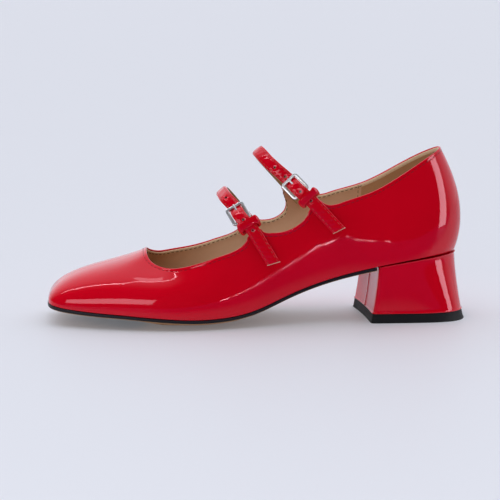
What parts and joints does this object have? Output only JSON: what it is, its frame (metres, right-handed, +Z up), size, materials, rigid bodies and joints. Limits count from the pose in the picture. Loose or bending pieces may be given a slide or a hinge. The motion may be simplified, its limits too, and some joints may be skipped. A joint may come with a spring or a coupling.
{
  "type": "double-strap block-heel pump",
  "caption": "Left women's pump in glossy red patent leather with a square toe, buckled instep straps, tan lining and a covered flared block heel.",
  "frame": {"origin": "middle of the underside of the bounding box, on the floor that the shoe stands on", "axes": "+X from the toe towards the heel, +Y from the outer (lateral, buckle) side towards the inner side, +Z up"},
  "size_m": [0.2496, 0.08, 0.1035],
  "materials": {
    "patent_leather": "mirror-gloss patent, bright red",
    "lining_leather": "matte tan",
    "sole": "satin black edge, tan face underneath",
    "lift": "matte black",
    "buckle_metal": "polished plating"
  },
  "bodies": {
    "root": {"upper": "patent_leather", "insole": "lining_leather", "outsole": "sole", "heel": "patent_leather", "top_lift": "lift", "strap_front": "patent_leather", "strap_rear": "patent_leather", "buckle_front": "buckle_metal", "buckle_rear": "buckle_metal", "prong_front": "buckle_metal", "prong_rear": "buckle_metal", "chape_front": "patent_leather", "chape_rear": "patent_leather", "keeper_front": "patent_leather", "keeper_rear": "patent_leather"}
  },
  "joints": []
}
